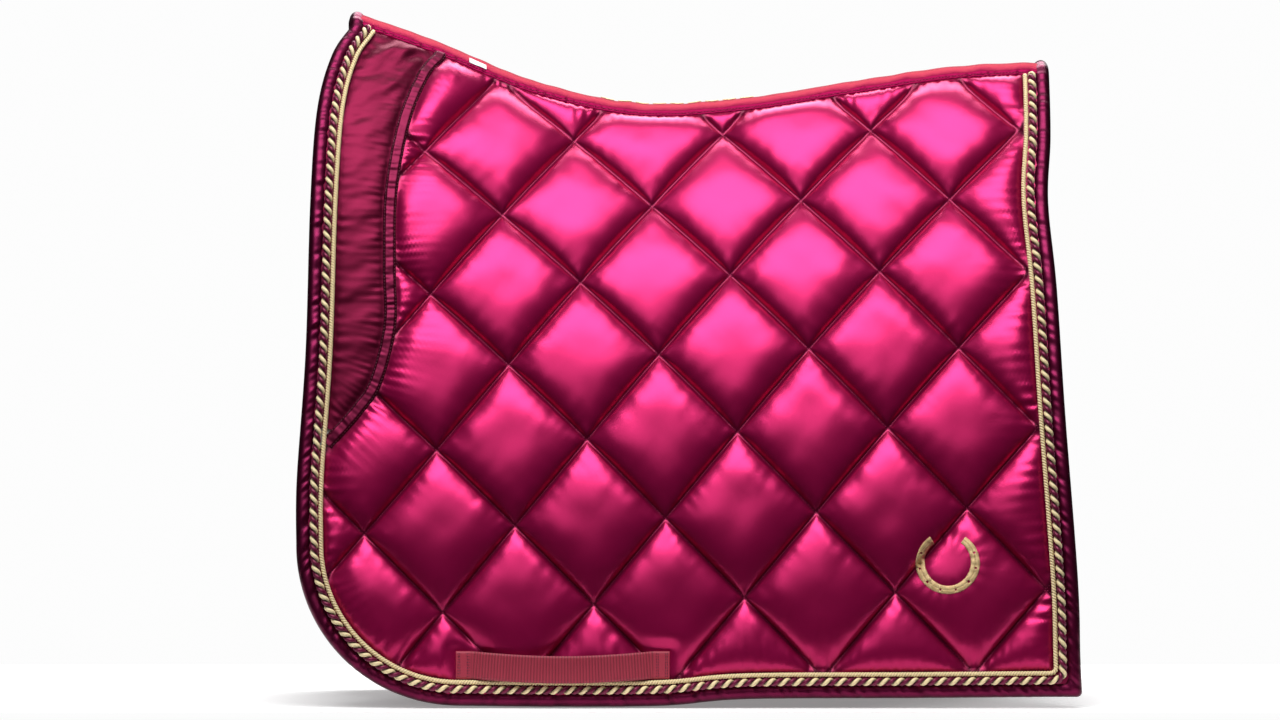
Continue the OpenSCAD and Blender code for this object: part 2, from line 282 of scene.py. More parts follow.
def ripples(x, y, seed, wavelength, angle=None, spread=0.35, count=14):
    """A smooth irregular field from about -1 to 1 with this wavelength, its waves crossing at an angle."""
    rng = np.random.default_rng(seed)
    total = np.zeros(np.broadcast(x, y).shape)
    for _ in range(count):
        a = rng.uniform(0, math.pi) if angle is None else angle + rng.normal(0, spread)
        k = 2 * math.pi / (wavelength * rng.uniform(0.7, 1.5))
        total += np.sin(k * (x * math.cos(a) + y * math.sin(a)) + rng.uniform(0, 2 * math.pi))
    return total / math.sqrt(count)


# --- meshes ---

def mesh_object(name, points, quads, material, tris=None, coords=None, shade=0.0):
    """A smooth mesh from points in mm. coords are two lengths per point that its weave follows, and
    shade, from 0 to 1, is painted shade: how far each point's colour is darkened for lying in a crease or
    facing away from the light."""
    points = np.asarray(points, float).reshape(-1, 3)
    quads = np.asarray(quads, int).reshape(-1, 4)
    tris = np.zeros((0, 3), int) if tris is None else np.asarray(tris, int).reshape(-1, 3)
    me = bpy.data.meshes.new(name)
    me.vertices.add(len(points))
    me.vertices.foreach_set("co", (points * MM).astype(np.float32).ravel())
    loops = np.concatenate([quads.ravel(), tris.ravel()])
    starts = np.concatenate([np.arange(len(quads)) * 4, len(quads) * 4 + np.arange(len(tris)) * 3])
    me.loops.add(len(loops))
    me.loops.foreach_set("vertex_index", loops.astype(np.int32))
    me.polygons.add(len(starts))
    me.polygons.foreach_set("loop_start", starts.astype(np.int32))
    me.polygons.foreach_set("use_smooth", np.ones(len(starts), bool))
    me.update(calc_edges=True)
    if coords is not None:
        weave = me.attributes.new("weave", "FLOAT_VECTOR", "POINT")
        c = np.zeros((len(points), 3), np.float32)
        c[:, :2] = np.asarray(coords).reshape(-1, 2) * MM
        c[:, 2] = np.clip(np.asarray(shade).ravel(), 0, 1)
        weave.data.foreach_set("vector", c.ravel())
    me.validate()
    me.materials.append(material)
    o = bpy.data.objects.new(name, me)
    bpy.context.scene.collection.objects.link(o)
    return o


def grid_quads(rows, columns, wrap=False, flip=False):
    """Faces of a grid of points, rows by columns; wrap joins the last column to the first."""
    r = np.arange(rows - 1)[:, None]
    c = np.arange(columns if wrap else columns - 1)[None, :]
    d = (c + 1) % columns
    quads = np.stack([r * columns + c, r * columns + d, (r + 1) * columns + d, (r + 1) * columns + c], -1)
    quads = quads.reshape(-1, 4)
    return quads[:, ::-1] if flip else quads


def end_caps(rows, columns, flip=False):
    """Triangles that close the two ends of a wrapped grid."""
    k = np.arange(1, columns - 1)
    first = np.stack([np.zeros_like(k), k + 1, k], -1)
    last = (rows - 1) * columns + np.stack([np.zeros_like(k), k, k + 1], -1)
    caps = np.concatenate([first, last])
    return caps[:, ::-1] if flip else caps


def directions(p, towards):
    """Unit vectors square to a 3-D line of points: the first near these ones, the second across both."""
    t = np.gradient(p, axis=0)
    t = t / np.linalg.norm(t, axis=1, keepdims=True)
    first = towards - (towards * t).sum(1, keepdims=True) * t
    first /= np.linalg.norm(first, axis=1, keepdims=True)
    return first, np.cross(t, first)


def tube_points(centre, across, radius, sides):
    """Rings round a line; across points out from the line at each ring."""
    a, b = directions(centre, across)
    phi = np.arange(sides) * 2 * math.pi / sides
    r = np.broadcast_to(np.asarray(radius, float), (len(centre),))[:, None, None]
    ring = np.cos(phi)[None, :, None] * a[:, None] + np.sin(phi)[None, :, None] * b[:, None]
    return centre[:, None] + r * ring


def stitch_mesh(name, starts, ends, out, material, radius=0.35):
    """A short thread, pointed at both ends, for each pair of points."""
    starts, ends, out = (np.asarray(v, float).reshape(-1, 3) for v in (starts, ends, out))
    d = ends - starts
    t = d / np.linalg.norm(d, axis=1, keepdims=True)
    b = np.cross(t, out)
    b /= np.linalg.norm(b, axis=1, keepdims=True)
    a = np.cross(b, t)
    rows = [starts]
    for share in (0.22, 0.78):
        middle = starts + d * share
        for ca, cb in ((1, 0), (0, 1), (-1, 0), (0, -1)):
            rows.append(middle + radius * (ca * a + cb * b))
    rows.append(ends)
    points = np.stack(rows, 1)
    base = np.arange(len(points))[:, None] * 10
    quads = np.array([[1 + k, 5 + k, 5 + (k + 1) % 4, 1 + (k + 1) % 4] for k in range(4)])
    tris = np.array(
        [[0, 1 + k, 1 + (k + 1) % 4] for k in range(4)] + [[9, 5 + (k + 1) % 4, 5 + k] for k in range(4)]
    )
    return mesh_object(
        name, points, (base[:, :, None] + quads[None]).reshape(-1, 4), material,
        (base[:, :, None] + tris[None]).reshape(-1, 3),
    )


def stitch_rows(lines, side, level, pitch, gap):
    """Starts, ends and outward directions of stitches along lines on the cloth."""
    starts, ends, outs = [], [], []
    for line in lines:
        n = level(line[:, 0], line[:, 1]) if callable(level) else level
        p = cloth(*line.T, n, side)
        o = cloth(*line.T, n + 1.0, side) - p
        d = lengths(p)
        count = int(d[-1] / pitch)
        if count < 1:
            continue
        at = (np.arange(count) + 0.5) * d[-1] / count
        half = (pitch - gap) / 2
        pick = lambda v, s: np.stack([np.interp(s, d, v[:, i]) for i in range(3)], -1)
        starts.append(pick(p, at - half))
        ends.append(pick(p, at + half))
        outs.append(pick(o, at))
    return np.concatenate(starts), np.concatenate(ends), np.concatenate(outs)


# --- areas of cloth ---

def nearest_on(points, line):
    """Distance from each point to a line of points, and how far along the line that is."""
    distance, along, place = (np.zeros(len(points)) for _ in range(3))
    a, d = line[:-1], np.diff(line, axis=0)
    size, run = (d ** 2).sum(1), lengths(line)
    for k in range(0, len(points), 4000):
        p = points[k: k + 4000, None]
        t = np.clip(((p - a) * d).sum(-1) / size, 0, 1)
        gap = ((p - a - t[..., None] * d) ** 2).sum(-1)
        j = gap.argmin(1)
        i = np.arange(len(j))
        distance[k: k + 4000] = np.sqrt(gap[i, j])
        place[k: k + 4000] = j + t[i, j]
        along[k: k + 4000] = run[j] + t[i, j] * np.sqrt(size[j])
    return distance, along, place


def point_at(line, place):
    i = np.minimum(place.astype(int), len(line) - 2)
    t = (place - i)[:, None]
    return line[i] * (1 - t) + line[i + 1] * t


def inside(points, ring):
    """Whether each point is inside a closed ring of points."""
    result = np.zeros(len(points), bool)
    a, b = ring, np.roll(ring, -1, axis=0)
    for k in range(0, len(points), 20000):
        p = points[k: k + 20000, None]
        spans = (a[:, 1] > p[..., 1]) != (b[:, 1] > p[..., 1])
        rise = np.where(b[:, 1] == a[:, 1], 1e-9, b[:, 1] - a[:, 1])
        at = a[:, 0] + (p[..., 1] - a[:, 1]) * (b[:, 0] - a[:, 0]) / rise
        result[k: k + 20000] = (spans & (p[..., 0] < at)).sum(1) % 2 == 1
    return result


def clipped(grid, ring):
    """The part of a grid of points inside a ring, with its border pulled onto the ring: points and quads."""
    rows, columns = grid.shape[:2]
    flat = grid.reshape(-1, 2)
    quads = grid_quads(rows, columns)
    middle = flat[quads].mean(1)
    near = (middle > ring.min(0)).all(1) & (middle < ring.max(0)).all(1)
    quads = quads[near][inside(middle[near], ring)]
    edges = np.concatenate([quads[:, [0, 1]], quads[:, [1, 2]], quads[:, [2, 3]], quads[:, [3, 0]]])
    _, which, uses = np.unique(np.sort(edges, axis=1), axis=0, return_inverse=True, return_counts=True)
    border = np.unique(edges[uses[which.ravel()] == 1])
    closed = np.concatenate([ring, ring[:1]])
    flat = flat.copy()
    flat[border] = point_at(closed, nearest_on(flat[border], closed)[2])
    used, quads = np.unique(quads, return_inverse=True)
    return flat[used], quads.reshape(-1, 4)


def under_strip(line, t):
    line = line.copy()
    line[:, 1] = np.maximum(line[:, 1], spine_q(line[:, 0], t))
    return line


# --- quilting ---

QUILT_ORIGIN = np.array([-245.7, 46.57])
QUILT_A = np.array([72.0, 73.24])
QUILT_B = np.array([-65.87, 78.78])
QUILT_SIDE = 102.7
QUILT_MATRIX = np.linalg.inv(np.array([QUILT_A, QUILT_B]).T)
SEAM_N, PILLOW_N = -7.0, 7.8
LINING_SEAM_N, LINING_PILLOW_N = -9.3, -14.4
TUCK = 22
LOOP_FRONT, LOOP_REAR, LOOP_Z, LOOP_W, LOOP_T = -215, -20, -507, 25, 1.8
LOOP_BOW, LOOP_SAG, LOOP_SEWN = 12, 3.5, 0.08
CREST_X, CREST_Z, CREST_R, CREST_BAR, CREST_OPEN = 234, -414, 25, 8, 70
LOOP_Q, CREST_Q = float(q_of_z(LOOP_Z)), float(q_of_z(CREST_Z))


def bow(x, q):
    """How far the rows of quilting sag from straight lines."""
    span = np.minimum(np.abs(x - 35), 300) / 200
    return 5 * (span ** 2 - 0.9) * (1 - 0.7 * smoothstep((q - 250) / 200))


def on_lattice(a, b):
    p = QUILT_ORIGIN + a[..., None] * QUILT_A + b[..., None] * QUILT_B
    return np.stack([p[..., 0], p[..., 1] + bow(p[..., 0], p[..., 1])], -1)


def lattice_of(p):
    q = p[:, 1].copy()
    for _ in range(3):
        q = p[:, 1] - bow(p[:, 0], q)
    return (np.stack([p[:, 0], q], -1) - QUILT_ORIGIN) @ QUILT_MATRIX.T


def lattice_grid(per_cell):
    """Points of the whole lattice, closer together near its seams."""
    t = np.arange(per_cell) / per_cell
    t = t - 0.30 * np.sin(2 * math.pi * t) / (2 * math.pi)
    a = (np.arange(-3, 9)[:, None] + t).ravel()
    b = (np.arange(-6, 7)[:, None] + t).ravel()
    return on_lattice(*np.meshgrid(a, b, indexing="ij"))


def fade(distance, reach):
    """1 at a seam and before it, fading to 0 beyond it."""
    return np.exp(-np.maximum(distance, 0) / reach)


def rise(distance, width, power=0.6):
    t = np.clip(distance / width, 0, 1)
    return (1 - (1 - t) ** 2) ** power


CORD_FOOT = resample(under_strip(edge_path(FINE_INSET + FINE_D / 2 + 0.3, 8, 3), TUCK), 3)
TAPE_LINE = seam_line(0)


class Relief:
    """The puffed, creased surface of one side's quilting, as heights over its flat outer face."""

    def __init__(self, p, side):
        self.p = p
        self.seed = 40 if side == LEFT else 80
        self.x, self.q = p[:, 0], p[:, 1]
        ab = lattice_of(p)
        self.f = ab - np.floor(ab)
        self.ab = ab
        self.top = self.q - spine_q(self.x, STRIP_HALF)
        self.edge, self.edge_along, _ = nearest_on(p, CORD_FOOT)
        self.edge *= np.where(inside(p, CORD_FOOT), 1, -1)
        self.tape, self.tape_along, place = nearest_on(p, TAPE_LINE)
        side_of = normals_2d(TAPE_LINE)[np.minimum(place.astype(int), len(TAPE_LINE) - 1)]
        ahead = ((p - point_at(TAPE_LINE, place)) * side_of).sum(1) > 0
        self.behind_tape = ahead | (self.q > TAPE_LINE[-1, 1])
        self.tape = self.tape - TAPE_W / 2
        crest = np.hypot(self.x - CREST_X, self.q - CREST_Q)
        self.crest, self.crest_angle = crest, np.arctan2(self.q - CREST_Q, self.x - CREST_X)
        gap = [
            np.hypot(
                np.maximum(np.abs(self.x - end) - 9, 0), np.maximum(np.abs(self.q - LOOP_Q) - LOOP_W / 2, 0)
            )
            for end in (LOOP_FRONT + 9, LOOP_REAR - 9)
        ]
        self.pressed = np.exp(-(np.minimum(*gap) / 9) ** 2)

    def pillow(self):
        f = 1 - np.abs(2 * self.f - 1) ** 3.0
        return (f[:, 0] * f[:, 1]) ** 0.56

    def crease_shade(self):
        # Painted shade: darker colour along the quilting's seams, beside the cord foot and wear tape, and
        # under the spine strip's edge.
        d = np.abs(self.ab - np.round(self.ab)).min(1) * QUILT_SIDE
        rim = fade(self.edge, 3) + fade(self.tape, 3)
        under = fade(self.top, 2.5)
        return np.clip(0.75 * np.exp(-d / 3.2) + 0.5 * rim + 0.5 * under, 0, 1)

    def near_edge(self):
        nearest = np.minimum(np.minimum(np.abs(self.tape), np.abs(self.edge)), np.abs(self.top))
        return np.exp(-(nearest / 26) ** 2)

    def creases(self):
        """Short creases across each seam, finest at the stitches and fading out over the pillow."""
        total = np.zeros(len(self.p))
        groove = np.zeros(len(self.p))
        for axis in (0, 1):
            along = self.ab[:, 1 - axis] * QUILT_SIDE
            near = np.round(self.ab[:, axis])
            d = np.abs(self.ab[:, axis] - near) * QUILT_SIDE
            half = np.where(self.ab[:, axis] > near, 1, 2) + 2 * near
            row = half * 173.0 + 40 * axis
            at = self.seed + 5 * axis
            fine = ripples(along, row + 0.8 * d, at, 11, 0.0, 0.25)
            mid = ripples(along, row + 0.9 * d, at + 1, 21, 0.0, 0.3)
            long = ripples(along, row + 0.9 * d, at + 2, 40, 0.0, 0.35)
            start = 1 - np.exp(-d / 2.5)
            groove = np.maximum(groove, np.exp(-(d / 2.2) ** 2))
            total += start * (
                0.30 * fine * np.exp(-d / 7) + 0.32 * mid * np.exp(-d / 14) + 0.28 * long * np.exp(-d / 26)
            )
        return total - 1.0 * groove

    def outer(self):
        pillow = self.pillow()
        slack = ripples(self.x, self.q, self.seed + 21, 48)
        slack += 0.6 * ripples(self.x, self.q, self.seed + 22, 95)
        n = SEAM_N + (PILLOW_N - SEAM_N) * pillow + self.creases() + 0.35 * slack * pillow
        comb = 0.9 * fade(self.tape, 14) * ripples(
            self.tape_along, 0.4 * self.tape, self.seed + 23, 7.5, 0.0, 0.15)
        comb += 0.9 * fade(self.edge, 13) * ripples(
            self.edge_along, 0.4 * self.edge, self.seed + 24, 9.5, 0.0, 0.2)
        comb += 0.7 * fade(self.top, 8) * ripples(
            self.x, 0.4 * self.top, self.seed + 25, 9, 0.0, 0.2)
        spoke = np.sin(17 * self.crest_angle + 2 * np.sin(3 * self.crest_angle) + self.seed)
        comb += 0.55 * spoke * np.exp(-np.abs(self.crest - CREST_R) / 9) * np.minimum(self.crest / 15, 1)
        n = -0.9 + (n + 0.9) * rise(self.edge, 26)
        n = -0.7 + (n + 0.7) * rise(self.tape, 20)
        n = -0.8 + (n + 0.8) * rise(self.top - 1, 20)
        band = np.exp(-((self.crest - CREST_R) / (CREST_BAR * 0.8)) ** 2)
        n = n - 0.9 * band
        n = n + comb * rise(self.edge, 3) * rise(self.tape, 3) * rise(self.top, 3)
        return n * (1 - self.pressed) - 0.8 * self.pressed

    def plain(self):
        """The unquilted wear panel: soft wadding under satin, with slanting drag lines."""
        puff = rise(self.edge, 22, 0.7) * rise(self.tape, 22, 0.7) * rise(self.top, 16, 0.7)
        drag = ripples(self.x, self.q, self.seed + 31, 34, 0.9, 0.45)
        drag += 0.5 * ripples(self.x, self.q, self.seed + 32, 17, 1.1, 0.5)
        comb = 0.7 * fade(self.tape, 10) * ripples(
            self.tape_along, 0.5 * self.tape, self.seed + 33, 8, 0.0, 0.2)
        comb += 0.6 * fade(self.edge, 10) * ripples(
            self.edge_along, 0.5 * self.edge, self.seed + 34, 10, 0.0, 0.25)
        pull = 0.42 + 1.1 * fade(self.top, 60)
        return -0.8 + puff * (3.4 + pull * drag) + 0.7 * comb * rise(self.edge, 3) * rise(self.tape, 3)

    def inner(self):
        """The lining's face towards the horse, held by the same stitches."""
        pillow = self.pillow()
        n = LINING_SEAM_N + (LINING_PILLOW_N - LINING_SEAM_N) * pillow - 0.55 * self.creases()
        free = -11.0 + 0.7 * ripples(self.x, self.q, self.seed + 41, 60)
        front = smoothstep(np.where(self.behind_tape, self.tape, -self.tape) / 12 + 0.5)
        n = free + (n - free) * front
        n = -9.6 + (n + 9.6) * rise(self.edge + 10, 24)
        return -9.8 + (n + 9.8) * rise(self.top + 3, 18)


# --- cords, bindings and bands ---

def tucked(path, lift, depth=5.0, over=9.0):
    """Heights along a cord that dives under the spine strip at both ends."""
    d = lengths(path)
    near = np.minimum(d, d[-1] - d)
    return lift - depth * (1 - smoothstep(near / over)) ** 2


def cord_frame(inset, lift, corner_r, step, side):
    path = edge_path(inset, corner_r, step)
    keep = path[:, 1] > spine_q(path[:, 0], 24) - 1e-6
    path = resample(path[keep], step)
    n = tucked(path, lift)
    p = cloth(*path.T, n, side)
    return p, *directions(p, cloth(*path.T, n + 1, side) - p)


def twisted(inset, lift, corner_r, step, side, plies, offset, radius, pitch, sides):
    """Rings of each ply of a twisted cord sewn along the edge."""
    p, out, across = cord_frame(inset, lift, corner_r, step, side)
    d = lengths(p)
    result = []
    for k in range(plies):
        phi = (2 * math.pi * (k / plies + d / pitch))[:, None]
        radial = np.cos(phi) * out + np.sin(phi) * across
        ply = p + offset * radial
        ring = tube_points(ply, radial, radius, sides)
        turn = np.broadcast_to(np.arange(sides) * 2 * math.pi / sides, (len(d), sides))
        run = lengths(ply)[:, None] + 0 * turn
        # Painted shade: each ply's colour darkens on its side facing the other ply.
        result.append((ring, np.stack([run, turn * radius], -1), np.clip(0.62 - np.cos(turn), 0, 1)))
    return result


def tube_object(name, tubes, material_of, flip):
    """One mesh of several tubes; material_of gives each tube's material."""
    points, quads, tris, coords, shades, which = [], [], [], [], [], []
    base = 0
    for ring, uv, shade in tubes:
        rows, columns = ring.shape[:2]
        g = grid_quads(rows, columns, wrap=True, flip=flip) + base
        c = end_caps(rows, columns, flip=flip) + base
        points.append(ring.reshape(-1, 3))
        coords.append(uv.reshape(-1, 2))
        shades.append(shade.ravel())
        quads.append(g)
        tris.append(c)
        which.append((len(g), len(c)))
        base += rows * columns
    o = mesh_object(
        name, np.concatenate(points), np.concatenate(quads), material_of[0],
        np.concatenate(tris), np.concatenate(coords), np.concatenate(shades),
    )
    slots = []
    for m in material_of[1:]:
        if m.name not in [s.name for s in o.data.materials]:
            o.data.materials.append(m)
    names = [s.name for s in o.data.materials]
    for part in (0, 1):
        for k, counts in enumerate(which):
            slots += [names.index(material_of[k].name)] * counts[part]
    o.data.polygons.foreach_set("material_index", np.array(slots, np.int32))
    return o


# --- materials ---

def material(name, colour, roughness, metallic=0.0, sheen=0.0, tint=(1, 1, 1), coat=0.0, edge=(1, 1, 1)):
    m = bpy.data.materials.new(name)
    m.use_nodes = True
    b = m.node_tree.nodes["Principled BSDF"]
    b.inputs["Base Color"].default_value = (*colour, 1)
    b.inputs["Roughness"].default_value = roughness
    b.inputs["Metallic"].default_value = metallic
    b.inputs["Sheen Weight"].default_value = sheen
    b.inputs["Sheen Roughness"].default_value = 0.4
    b.inputs["Sheen Tint"].default_value = (*tint, 1)
    b.inputs["Specular Tint"].default_value = (*edge, 1)
    b.inputs["Coat Weight"].default_value = coat
    b.inputs["Coat Roughness"].default_value = 0.3
    m.diffuse_color = (*colour, 1)
    return m


def node(m, kind, **settings):
    n = m.node_tree.nodes.new(kind)
    for key, value in settings.items():
        if hasattr(n, key):
            setattr(n, key, value)
        else:
            n.inputs[key.replace("_", " ")].default_value = value
    return n


def link(m, a, b):
    m.node_tree.links.new(a, b)


THREAD_SHADE = 0.12


def woven(m, stretch=5, scale=700, depth=0.00006):
    """Threads along the cloth: a fine bump and a slight change of colour, stretched along one direction."""
    at = node(m, "ShaderNodeAttribute", attribute_name="weave")
    turn = node(m, "ShaderNodeMapping")
    turn.inputs["Scale"].default_value = (scale, scale * stretch, 0)
    threads = node(m, "ShaderNodeTexNoise", Scale=1.0, Detail=2.0, Roughness=0.55)
    link(m, at.outputs["Vector"], turn.inputs["Vector"])
    link(m, turn.outputs["Vector"], threads.inputs["Vector"])
    bump = node(m, "ShaderNodeBump", Strength=0.6, Distance=depth)
    link(m, threads.outputs["Fac"], bump.inputs["Height"])
    b = m.node_tree.nodes["Principled BSDF"]
    link(m, bump.outputs["Normal"], b.inputs["Normal"])
    base = tuple(b.inputs["Base Color"].default_value)
    mix = node(m, "ShaderNodeMix", data_type="RGBA")
    mix.inputs[6].default_value = tuple(c * (1 - THREAD_SHADE) for c in base[:3]) + (1,)
    mix.inputs[7].default_value = tuple(min(1, c * (1 + THREAD_SHADE)) for c in base[:3]) + (1,)
    link(m, threads.outputs["Fac"], mix.inputs[0])
    apart = node(m, "ShaderNodeSeparateXYZ")
    link(m, at.outputs["Vector"], apart.inputs[0])
    # Painted shade: the weave attribute's third value darkens the base colour towards 12 % of it.
    crease = node(m, "ShaderNodeMix", data_type="RGBA")
    crease.inputs[7].default_value = tuple(c * 0.12 for c in base[:3]) + (1,)
    link(m, apart.outputs["Z"], crease.inputs[0])
    link(m, mix.outputs[2], crease.inputs[6])
    link(m, crease.outputs[2], b.inputs["Base Color"])
    return m


SATIN = woven(material("quilted_satin", (0.52, 0.004, 0.105), 0.33, 0.70, 0.05, (1, 0.25, 0.5), 0.12))
WEAR = woven(material("wear_satin", (0.125, 0.0015, 0.024), 0.42, 0.85, 0.0))
# strip_satin is a darker copy of the panels' satin: painted shade against the light the strip catches.
STRIP = woven(material("strip_satin", (0.36, 0.003, 0.070), 0.45, 0.7, edge=(0.7, 0.12, 0.25)))
SEAM = woven(material("seam_satin", (0.125, 0.002, 0.028), 0.40, 0.80, 0.0))
BINDING = woven(material("binding_satin", (0.150, 0.003, 0.042), 0.38, 0.80, 0.0))
LINING = woven(
    material("lining_fabric", (0.085, 0.003, 0.022), 0.8, 0.0, 0.3, (0.8, 0.3, 0.4)), 1, 1500, 0.00018)
WADDING = woven(material("wadding", (0.82, 0.82, 0.79), 0.95, 0.0, 0.4), 1, 350, 0.0006)
GOLD_PLY = woven(material("two_ply_rope", (1.0, 0.77, 0.44), 0.42, 0.0, 0.3, (1, 0.9, 0.7)), 8, 260, 0.00012)
DARK_PLY = woven(
    material("two_ply_rope_dark", (0.17, 0.004, 0.045), 0.36, 0.35, 0.3, (1, 0.5, 0.7)), 8, 260, 0.00012)
GOLD_CORD = woven(material("gold_cord", (1.0, 0.77, 0.44), 0.42, 0.0, 0.3, (1, 0.9, 0.7)), 6, 500, 0.00008)
GOLD_THREAD = material("gold_thread", (0.90, 0.68, 0.36), 0.40, 0.25, 0.3, (1, 0.9, 0.7))
PINK_THREAD = material("quilting_thread", (0.42, 0.004, 0.085), 0.45, 0.2, 0.3, (1, 0.4, 0.6))
DARK_THREAD = material("seam_thread", (0.11, 0.002, 0.022), 0.5, 0.1, 0.3, (1, 0.4, 0.6))
WEBBING = woven(material("webbing", (0.42, 0.030, 0.065), 0.55, 0.0, 0.25, (1, 0.5, 0.5)), 4, 900, 0.00015)
WHITE_CLOTH = woven(material("label_cloth", (0.86, 0.86, 0.85), 0.6, 0.0, 0.3), 2, 1500, 0.00008)


# --- the pieces ---

def flap_body(side):
    return "left_flap" if side == LEFT else "right_flap"


def stands_for(name):
    """Hides the CAD node of this name, which the new mesh replaces."""
    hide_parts(name)


def bends(o):
    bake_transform(o)


QUILT_FINE = 44
DETAIL = 1


def flap_edge(inset):
    """The edge of a flap at an inset, from spine strip to spine strip."""
    path = edge_path(inset, 3, 3)
    return resample(path[path[:, 1] > spine_q(path[:, 0], TUCK) - 1e-6], 3)


def closed_top(path, t):
    """Closes a path that starts and ends at the spine with a line along it, t from the spine."""
    x = np.linspace(path[-1, 0], path[0, 0], 160)
    return np.concatenate([path, np.stack([x, spine_q(x, t)], -1)[1:-1]])


FLAP_RING = closed_top(under_strip(flap_edge(9), TUCK), TUCK)


def part_of_ring(front_of_seam):
    """The flap's ring on one side of the wear tape's centre line."""
    cut = seam_line(-3.0 if front_of_seam else 3.0)
    cut = cut[inside(cut, FLAP_RING)]
    low = int(nearest_on(cut[-1:], FLAP_RING)[2][0])
    x0 = cut[0, 0]
    if front_of_seam:
        x = np.linspace(x0, FLAP_RING[0, 0], 20)
        return np.concatenate([FLAP_RING[: low + 1], cut[::-1], np.stack([x, spine_q(x, TUCK)], -1)[:-1]])
    top = [p for p in FLAP_RING[low + 1:] if not (p[0] < x0 and p[1] <= spine_q(p[0], TUCK) + 0.5)]
    return np.concatenate([top, cut])


QUILT_RING = part_of_ring(False)
WEAR_RING = part_of_ring(True)
quilt_grid = clipped(lattice_grid(QUILT_FINE), QUILT_RING)
lining_grid = clipped(lattice_grid(20), FLAP_RING)
wear_step = 1.9
wear_grid = clipped(np.stack(np.meshgrid(
    np.arange(-362, -220, wear_step), np.arange(-110, 330, wear_step), indexing="ij"), -1), WEAR_RING)


def facing(quads, points, side):
    """Quads turned so that they face away from the horse."""
    a, b, c = (points[quads[:, k]] for k in range(3))
    normal = np.cross(b - a, c - b)
    wrong = (normal[:, 1] * side + 0.3 * normal[:, 2]).sum() < 0
    return quads[:, ::-1] if wrong else quads


def surface(name, side, grid, n, m, inward=False, shade=0.0):
    flat, quads = grid
    points = cloth(*flat.T, n, side)
    quads = facing(quads, points, side)
    o = mesh_object(name, points, quads[:, ::-1] if inward else quads, m, coords=flat, shade=shade)
    stands_for(name)
    bends(o)
    return o


def seams_in(ring):
    """The lattice's lines inside a ring, as separate runs of points."""
    lines = []
    t = np.arange(-7, 11, 2.0 / QUILT_SIDE)
    for k in range(-7, 11):
        for a, b in ((np.full_like(t, k), t), (t, np.full_like(t, k))):
            p = on_lattice(a, b)
            keep = inside(p, ring)
            breaks = np.flatnonzero(np.diff(keep.astype(int))) + 1
            for run in np.split(np.arange(len(p)), breaks):
                if keep[run[0]] and len(run) > 4:
                    lines.append(p[run])
    return lines


def quilting(name, side):
    """The machine stitches of the quilting, down in its seams."""
    lines = [s for s in seams_in(QUILT_RING) if len(s) > 6]
    level = lambda x, q: relief_at(x, q, side) + 0.12
    s, e, out = stitch_rows(lines, side, level, 3.2, 1.2)
    return stitch_mesh(name, s, e, out, PINK_THREAD, 0.28)


def relief_at(x, q, side):
    return Relief(np.stack([x, q], -1), side).outer()


def edge_rows(inset, corner_r, counts):
    """The path at an inset as points, the same number on each side of the rear corner for every inset."""
    path = edge_path(inset, corner_r, 1.0)
    corner = np.argmin(np.linalg.norm(path - (REAR_CORNER * [1, 0] + [0, q_of_z(REAR_CORNER[1])]), axis=1))
    a, b = resample(path[: corner + 1], 1.0), resample(path[corner:], 1.0)
    pick = lambda v, count: np.stack(
        [np.interp(np.linspace(0, len(v) - 1, count), np.arange(len(v)), v[:, i]) for i in (0, 1)], -1)
    return np.concatenate([pick(a, counts[0]), pick(b, counts[1])[1:]])


def binding(name, side):
    seed = 11 if side == LEFT else 12
    counts = (800 // DETAIL, 330 // DETAIL)
    outer, inner = edge_rows(0, 7, counts), edge_rows(BINDING_W + 3, 5, counts)
    profile = smooth_line([
        (1.0, -0.10), (0.86, 0.02), (0.66, 0.13), (0.40, 0.15), (0.16, 0.03), (0.02, -0.22), (-0.03, -0.5),
        (0.02, -0.78), (0.16, -1.02), (0.45, -1.10), (0.70, -1.07), (0.82, -0.98), (0.95, -0.98),
    ], 0.1)
    w, h = profile[:, 0], profile[:, 1]
    along = lengths(outer)[:, None]
    face = 0.5 - h[None]
    pucker = 0.55 * ripples(along, 9 * face, seed, 10, 0.0, 0.25)
    pucker += 0.7 * ripples(along, 9 * face, seed + 7, 26, 0.0, 0.3)
    grip = np.clip(1.15 - np.abs(w[None] - 0.62) * 1.3, 0, 1)
    puff = 0.8 * pucker * grip
    x = outer[:, None, 0] * (1 - w[None] * 0.81) + inner[:, None, 0] * w[None] * 0.81
    q = outer[:, None, 1] * (1 - w[None] * 0.81) + inner[:, None, 1] * w[None] * 0.81
    upper = h[None] > -0.5
    over = 1 - smoothstep((q - spine_q(x, 0) - 22) / 12)
    n = PAD_T * h[None] + np.where(upper, puff + 1.5 * over, -puff - 1.2 * over)
    points = cloth(x, q, n, side)
    quads = grid_quads(len(outer), len(w), flip=side == RIGHT)
    # Painted shade: the outer half, turned under the pad, and the inner edge against the panel are darkened;
    # the puckers are painted lighter where they rise and darker where they dip.
    shade = 0.6 * smoothstep((0.42 - w) / 0.3) + 0.9 * smoothstep((w - 0.88) / 0.12)
    shade = np.clip(shade[None] - 0.25 * puff, 0, 1)
    arc = np.broadcast_to(lengths(profile)[None] * BINDING_W, x.shape)
    o = mesh_object(name, points, quads, BINDING, coords=np.stack([np.broadcast_to(along, x.shape), arc], -1),
                    shade=shade)
    stands_for(name)
    bends(o)


def rope(name, side):
    tubes = twisted(
        ROPE_INSET, CORD_GAP + ROPE_D / 2, 9, 1.2 * DETAIL, side,
        plies=2, offset=1.90, radius=1.95, pitch=-13.0, sides=10)
    o = tube_object(name, tubes, [GOLD_PLY, DARK_PLY], flip=False)
    stands_for(name)
    bends(o)


